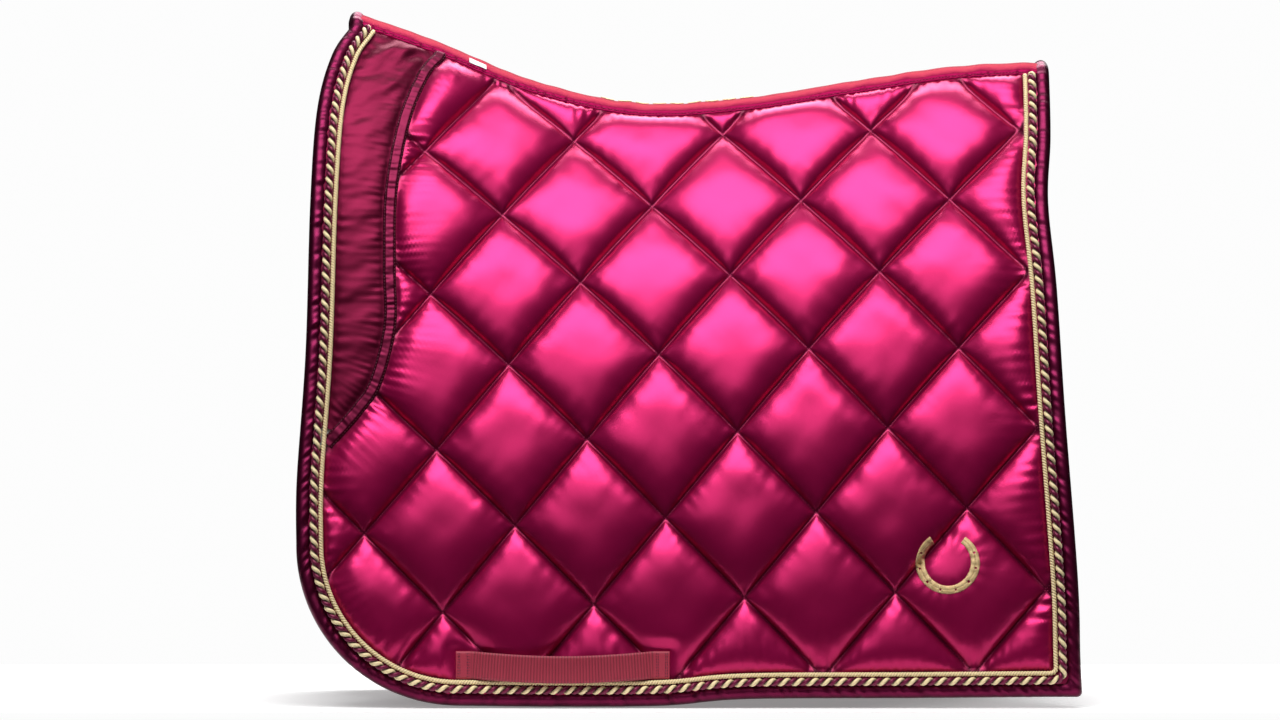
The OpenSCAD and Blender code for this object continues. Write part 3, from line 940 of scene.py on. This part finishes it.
def fine_cord(name, side):
    tubes = twisted(
        FINE_INSET, CORD_GAP + FINE_D / 2, 7, 0.62 * DETAIL, side,
        plies=2, offset=1.14, radius=1.16, pitch=-5.2, sides=7)
    o = tube_object(name, tubes, [GOLD_CORD] * 2, flip=False)
    stands_for(name)
    bends(o)


def wear_tape(name, side):
    seed = 21 if side == LEFT else 22
    line = resample(SEAM_LINE, 1.2 * DETAIL)
    line = line[(line[:, 1] > spine_q(line[:, 0], TUCK)) & inside(line, FLAP_RING)]
    across = np.linspace(-1, 1, 19)
    out = normals_2d(line)
    along = lengths(line)[:, None]
    x = line[:, None, 0] + out[:, None, 0] * across * TAPE_W / 2
    q = line[:, None, 1] + out[:, None, 1] * across * TAPE_W / 2
    stitched = np.exp(-((np.abs(across) - 0.74) / 0.10) ** 2)[None]
    comb = ripples(along, 5 * across[None], seed, 6, 0.0, 0.2)
    broad = ripples(along, 5 * across[None], seed + 9, 17, 0.0, 0.4)
    arch = 1 - np.abs(across[None]) ** 6
    n = -0.9 + 2.5 * arch - 0.9 * stitched + arch * (0.18 * comb + 0.35 * broad)
    n = np.where(np.abs(across[None]) > 0.99, -2.2, n)
    points = cloth(x, q, n, side)
    quads = facing(grid_quads(*x.shape), points.reshape(-1, 3), side)
    # Painted shade: the tape's colour darkens along the two stitched rows.
    o = mesh_object(name, points, quads, SEAM, coords=np.stack([x, q], -1), shade=0.8 * stitched + 0 * x)
    stands_for(name)
    bends(o)
    lines = [line + out * k * 0.74 * TAPE_W / 2 for k in (-1, 1)]
    s, e, o2 = stitch_rows(lines, side, 0.75, 3.0, 0.9)
    t = stitch_mesh(name + "_stitches", s, e, o2, DARK_THREAD, 0.33)
    bends(t)


def ribbon_rings(points, out, across, width, thick, cells):
    """Closed rings of a flat band round a line of points."""
    w = np.concatenate([np.linspace(-0.5, 0.5, cells), np.linspace(0.5, -0.5, cells)])
    h = np.concatenate([np.full(cells, 0.5), np.full(cells, -0.5)])
    edge = 1 - 0.45 * (np.abs(w) > 0.49)
    wide = width * w[None, :, None] * across[:, None]
    return points[:, None] + wide + thick * (h * edge)[None, :, None] * out[:, None]


def girth_loop(name, side):
    u = np.linspace(0, 1, 470 // DETAIL)
    v = np.clip((u - LOOP_SEWN) / (1 - 2 * LOOP_SEWN), 0, 1)
    x = LOOP_FRONT + (LOOP_REAR - LOOP_FRONT) * u
    n = 0.3 + LOOP_BOW * np.sin(math.pi * v) ** 0.6
    n = np.convolve(np.pad(n, 12, mode="edge"), np.ones(25) / 25, "valid") if DETAIL == 1 else n
    q = LOOP_Q + LOOP_SAG * np.sin(math.pi * v)
    p = cloth(x, q, n + LOOP_T / 2, side)
    out, across = directions(p, cloth(x, q, n + 3, side) - p)
    d = lengths(p)
    ribbed = smoothstep((np.minimum(d, d[-1] - d) - 13) / 2)
    valley = (1 - np.abs(np.sin(math.pi * d / 2.8)) ** 0.8) * ribbed
    rib = -0.42 * valley
    rings = ribbon_rings(p, out, across, LOOP_W, LOOP_T + 2 * rib[:, None, None], 12)
    across_mm = np.arange(24)[None] * 2.0
    # Painted shade: the webbing's colour darkens in the rib valleys.
    tubes = [(rings, np.stack(np.broadcast_arrays(d[:, None], across_mm), -1),
              np.broadcast_to(0.75 * valley[:, None], (len(d), 24)))]
    o = tube_object(name, tubes, [WEBBING], flip=True)
    stands_for(name)
    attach(o, flap_body(side))
    starts, ends, outs = [], [], []
    for a in (LOOP_FRONT, LOOP_REAR - 14):
        for x in (a + 2, a + 3.6, a + 10.4, a + 12):
            line = resample(np.array([(x, LOOP_Q - 11.5), (x, LOOP_Q + 11.5)]), 1.0)
            s, e, w = stitch_rows([line], side, 0.3 + LOOP_T + 0.1, 2.4, 0.6)
            for kept, new in ((starts, s), (ends, e), (outs, w)):
                kept.append(new)
    t = stitch_mesh(
        name + "_stitches", *(np.concatenate(v) for v in (starts, ends, outs)), DARK_THREAD, 0.45)
    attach(t, flap_body(side))


def crest(name, side):
    """A horseshoe in satin stitch: threads laid side by side across its bar, parted at the nail holes."""
    arc = math.radians(360 - CREST_OPEN)
    count = int(arc * CREST_R / 0.6)
    a = math.pi / 2 + math.radians(CREST_OPEN) / 2 + np.linspace(0, arc, count)
    holes = np.linspace(0.12, 0.88, 8)
    near = np.abs(np.linspace(0, 1, count)[:, None] - holes).min(1) * arc * CREST_R < 1.0
    bar = CREST_BAR * (1 - 0.12 * np.cos(np.linspace(0, 2 * math.pi, count)) ** 2)
    pieces = [(-0.5, 0.5, ~near), (-0.5, -0.04, near), (0.22, 0.5, near)]
    starts, ends, outs = [], [], []
    for low, high, use in pieces:
        for first, second in ((low, (low + high) / 2), ((low + high) / 2, high)):
            ends_of = []
            for share in (first, second):
                r = CREST_R + bar[use] * share
                x, q = CREST_X + r * np.cos(a[use]), CREST_Q - r * np.sin(a[use])
                crown_up = 0.75 * (1 - (2 * (share - (low + high) / 2) / (high - low)) ** 2)
                n = relief_at(x, q, side) + 0.25 + crown_up
                ends_of.append((cloth(x, q, n, side), cloth(x, q, n + 1, side)))
            starts.append(ends_of[0][0])
            ends.append(ends_of[1][0])
            outs.append(ends_of[0][1] - ends_of[0][0])
    s, e = np.concatenate(starts), np.concatenate(ends)
    reach = 0.15 * (e - s)
    o = stitch_mesh(name, s - reach, e + reach, np.concatenate(outs), GOLD_THREAD, 0.42)
    stands_for(name)
    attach(o, flap_body(side))


def wadding(name, side, upper, lower):
    """The filling of a flap, between two heights over its cloth."""
    flat, quads = lining_grid
    high, low = (cloth(*flat.T, n, side) for n in (upper, lower))
    quads = facing(quads, high, side)
    o = mesh_object(
        name, np.concatenate([high, low]), np.concatenate([quads, quads[:, ::-1] + len(flat)]), WADDING,
        coords=np.concatenate([flat, flat]))
    stands_for(name)
    bends(o)
    return o


for word, side in SIDES.items():
    quilted = Relief(quilt_grid[0], side)
    panel = surface(
        word + "_outer_panel", side, quilt_grid, quilted.outer(), SATIN,
        shade=quilted.crease_shade())
    stitches = quilting(word + "_quilting", side)
    bends(stitches)
    wear = surface(
        word + "_wear_panel", side, wear_grid, Relief(wear_grid[0], side).plain(), WEAR)
    whole = Relief(lining_grid[0], side)
    above = np.where(whole.behind_tape, whole.outer(), whole.plain())
    lining_n = np.minimum(whole.inner(), above - 1.3)
    lining = surface(word + "_lining", side, lining_grid, lining_n, LINING, inward=True)
    upper = np.maximum(above - 0.9 - 2.2 * whole.near_edge(), lining_n + 0.35)
    fill = wadding(word + "_wadding", side, upper, lining_n + 0.3)
    binding(word + "_edge_binding", side)
    rope(word + "_rope", side)
    fine_cord(word + "_fine_cord", side)
    wear_tape(word + "_wear_tape", side)
    girth_loop(word + "_girth_loop", side)
    crest(word + "_crest", side)


# --- the spine ---


def spine_points(x, s, n):
    return cloth(x, spine_q(x, s), n, RIGHT)


def strip_height(x, s):
    edge = STRIP_HALF - np.abs(s)
    stitched = np.exp(-((edge - STITCH_IN) / 1.3) ** 2)
    comb = ripples(x, 0.5 * s, 61, 7.5, 0.0, 0.25) * fade(edge - 2, 6)
    slack = ripples(x, s, 62, 26, 0.0, 0.5)
    n = 0.9 + 0.9 * rise(edge - STITCH_IN, 14) - 0.85 * stitched + 0.35 * comb
    n = n + 0.30 * slack * rise(edge - 2, 12)
    end = np.minimum(x - SPINE_FRONT, SPINE_REAR - x)
    return np.where(edge < 0.4, -1.6, n) * rise(end + 1.2, 6, 0.5) + 0.2


def spine_strip():
    """The satin strip over the spine seam, its ends under the binding."""
    rows_x = np.arange(SPINE_FRONT + 3, SPINE_REAR - 3, 1.6 * DETAIL)
    x, s = np.meshgrid(rows_x, np.linspace(-STRIP_HALF, STRIP_HALF, 52 // DETAIL + 1), indexing="ij")
    points = spine_points(x, s, strip_height(x, s))
    # Painted shade: the whole strip's colour is dimmed, and darker still along its stitched rows, to hold
    # down the light it catches.
    shade = 0.40 + 0.45 * np.exp(-((STRIP_HALF - np.abs(s) - STITCH_IN) / 1.1) ** 2)
    o = mesh_object(
        "spine_strip", points, grid_quads(*x.shape), STRIP, coords=np.stack([x, s], -1), shade=shade)
    stands_for("spine_strip")
    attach(o, "spine")
    rows = [np.stack([rows_x, spine_q(rows_x, STRIP_HALF - STITCH_IN)], -1)]
    parts = [stitch_rows(rows, side, 0.6, 3.0, 0.8) for side in SIDES.values()]
    t = stitch_mesh("spine_strip_stitches", *(np.concatenate(v) for v in zip(*parts)), PINK_THREAD, 0.34)
    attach(t, "spine")


def spine_motif():
    """A row of lozenges in satin stitch along the top of the spine."""
    count, middle_x, length, half_w = 9, -12, 148, 4.5
    pitch = length / count
    half_l = pitch * 0.4
    starts, ends, outs = [], [], []
    for i in range(count):
        centre = middle_x + pitch * (i - (count - 1) / 2)
        x = np.arange(centre - half_l + 0.4, centre + half_l - 0.3, 0.55)
        w = half_w * (1 - np.abs(x - centre) / half_l) + 0.35
        for a, b in ((-1, 0), (0, 1)):
            for share, into in ((a, starts), (b, ends)):
                s = share * w
                n = strip_height(x, s) + 0.3 + 0.5 * (share == 0)
                into.append(spine_points(x, s, n))
            outs.append(spine_points(x, 0 * w, 3.0) - spine_points(x, 0 * w, 2.0))
    s, e = np.concatenate(starts), np.concatenate(ends)
    reach = 0.12 * (e - s)
    o = stitch_mesh("spine_motif", s - reach, e + reach, np.concatenate(outs), GOLD_THREAD, 0.40)
    stands_for("spine_motif")
    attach(o, "spine")


def spine_core():
    x = np.linspace(SPINE_FRONT + 1.5, SPINE_REAR - 1.5, 160)
    phi = np.arange(28) * 2 * math.pi / 28
    s = 24 * np.sign(np.cos(phi)) * np.abs(np.cos(phi)) ** 0.4
    n = -5.6 - 4.0 * np.sign(np.sin(phi)) * np.abs(np.sin(phi)) ** 0.5
    x, s = np.meshgrid(x, s, indexing="ij")
    points = spine_points(x, s, np.broadcast_to(n, x.shape))
    quads = grid_quads(*x.shape, wrap=True, flip=True)
    o = mesh_object("spine_core", points, quads, WADDING, end_caps(*x.shape, flip=True), np.stack([x, s], -1))
    stands_for("spine_core")
    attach(o, "spine")


def spine_tape():
    """The tape that covers the spine seam from below."""
    rows_x = np.arange(SPINE_FRONT + 2, SPINE_REAR - 2, 2.0 * DETAIL)
    across = np.linspace(-SPINE_TAPE_HALF, SPINE_TAPE_HALF, 52 // DETAIL + 1)
    x, s = np.meshgrid(rows_x, across, indexing="ij")
    edge = SPINE_TAPE_HALF - np.abs(s)
    stitched = np.exp(-((edge - STITCH_IN) / 1.2) ** 2)
    comb = ripples(x, 0.4 * s, 71, 9, 0.0, 0.25) * fade(edge - 2, 7)
    n = -11.6 + 0.7 * stitched - 0.3 * comb + np.where(edge < 0.3, 1.8, 0)
    points = spine_points(x, s, n)
    o = mesh_object("spine_tape", points, grid_quads(*x.shape), SEAM, coords=np.stack([x, s], -1))
    stands_for("spine_tape")
    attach(o, "spine")


def care_label():
    """The folded label, sewn down by its upper edge and curling at the lower one."""
    x0, length, height, sewn = -200, 16, 7.2, 14.6
    u, v = np.meshgrid(np.linspace(-0.5, 0.5, 25), np.linspace(0, 1, 15), indexing="ij")
    x = x0 + length * u + 0.4 * v ** 2
    s = -(sewn + height * v)
    curl = 0.9 * v ** 2 * (0.6 + 0.8 * u) + 0.15 * np.sin(9 * u) * v
    base = strip_height(np.full_like(v, x0), s) + 0.25
    sheets_of = [spine_points(x, s, base + curl + k * (0.15 + 0.55 * v * (1 - v) + 0.25 * v)) for k in (0, 1)]
    rows, columns = u.shape
    g = grid_quads(rows, columns)
    points = np.concatenate([p.reshape(-1, 3) for p in sheets_of])
    rim = np.concatenate([
        np.arange(columns), (np.arange(1, rows) * columns + columns - 1),
        (rows - 1) * columns + np.arange(columns - 2, -1, -1), np.arange(rows - 2, 0, -1) * columns,
    ])
    ahead = np.roll(rim, -1)
    side_quads = np.stack([rim, ahead, ahead + rows * columns, rim + rows * columns], -1)
    quads = np.concatenate([g, g[:, ::-1] + rows * columns, side_quads])
    coords = np.stack([x, s], -1).reshape(-1, 2)
    o = mesh_object("care_label", points, quads, WHITE_CLOTH, coords=np.concatenate([coords, coords]))
    stands_for("care_label")
    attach(o, "label")


spine_strip()
spine_motif()
spine_core()
spine_tape()
care_label()


# --- floor, light and camera ---

def pale(name, value):
    m = bpy.data.materials.new(name)
    m.use_nodes = True
    b = m.node_tree.nodes["Principled BSDF"]
    b.inputs["Base Color"].default_value = (value, value, value, 1)
    b.inputs["Roughness"].default_value = 0.9
    b.inputs["Emission Color"].default_value = (1, 1, 1, 1)
    b.inputs["Emission Strength"].default_value = 0.25
    return m


def floor():
    x, y = np.meshgrid(np.linspace(-900, 900, 3), np.linspace(-255, 700, 3), indexing="ij")
    z = np.full_like(x, cad_low.z / MM - 1.5)
    o = mesh_object("floor", np.stack([x, y, z], -1), grid_quads(3, 3), pale("floor", 0.9))


def area_light(name, place, target, size, power):
    data = bpy.data.lights.new(name, "AREA")
    data.shape = "RECTANGLE"
    data.size, data.size_y = size
    data.energy = power
    o = bpy.data.objects.new(name, data)
    bpy.context.scene.collection.objects.link(o)
    from_target = np.array(place) - np.array(target)
    o.location = place
    o.rotation_euler = Vector(from_target).to_track_quat("Z", "Y").to_euler()


def world():
    w = bpy.data.worlds.new("studio")
    bpy.context.scene.world = w
    w.use_nodes = True
    tree = w.node_tree
    back = tree.nodes["Background"]
    seen = tree.nodes.new("ShaderNodeBackground")
    back.inputs["Color"].default_value = (1, 1, 1, 1)
    back.inputs["Strength"].default_value = 0.03
    seen.inputs["Color"].default_value = (1, 1, 1, 1)
    seen.inputs["Strength"].default_value = 0.98
    path = tree.nodes.new("ShaderNodeLightPath")
    mix = tree.nodes.new("ShaderNodeMixShader")
    tree.links.new(path.outputs["Is Camera Ray"], mix.inputs[0])
    tree.links.new(back.outputs[0], mix.inputs[1])
    tree.links.new(seen.outputs[0], mix.inputs[2])
    tree.links.new(mix.outputs[0], tree.nodes["World Output"].inputs["Surface"])


floor()
world()
for name, y in (("front", -1), ("back", 1)):
    area_light(name + "_softbox", (0.1 * y, 1.45 * y, 2.0), (0, 0.1 * y, -0.25), (2.3, 1.7), 82)
    area_light(name + "_fill", (0.5 * y, 2.4 * y, 0.9), (0, 0.1 * y, -0.25), (1.6, 1.0), 8)

camera = bpy.data.cameras.new("camera")
camera_object = bpy.data.objects.new("camera", camera)
bpy.context.scene.collection.objects.link(camera_object)
camera_object.location = (-0.047, -6.406, -0.2287)
camera_object.rotation_euler = (math.radians(90), 0, 0)
camera.sensor_width = 36
camera.lens = 191.7
camera.clip_end = 60
bpy.context.scene.camera = camera_object
bpy.context.scene.view_settings.view_transform = "Standard"
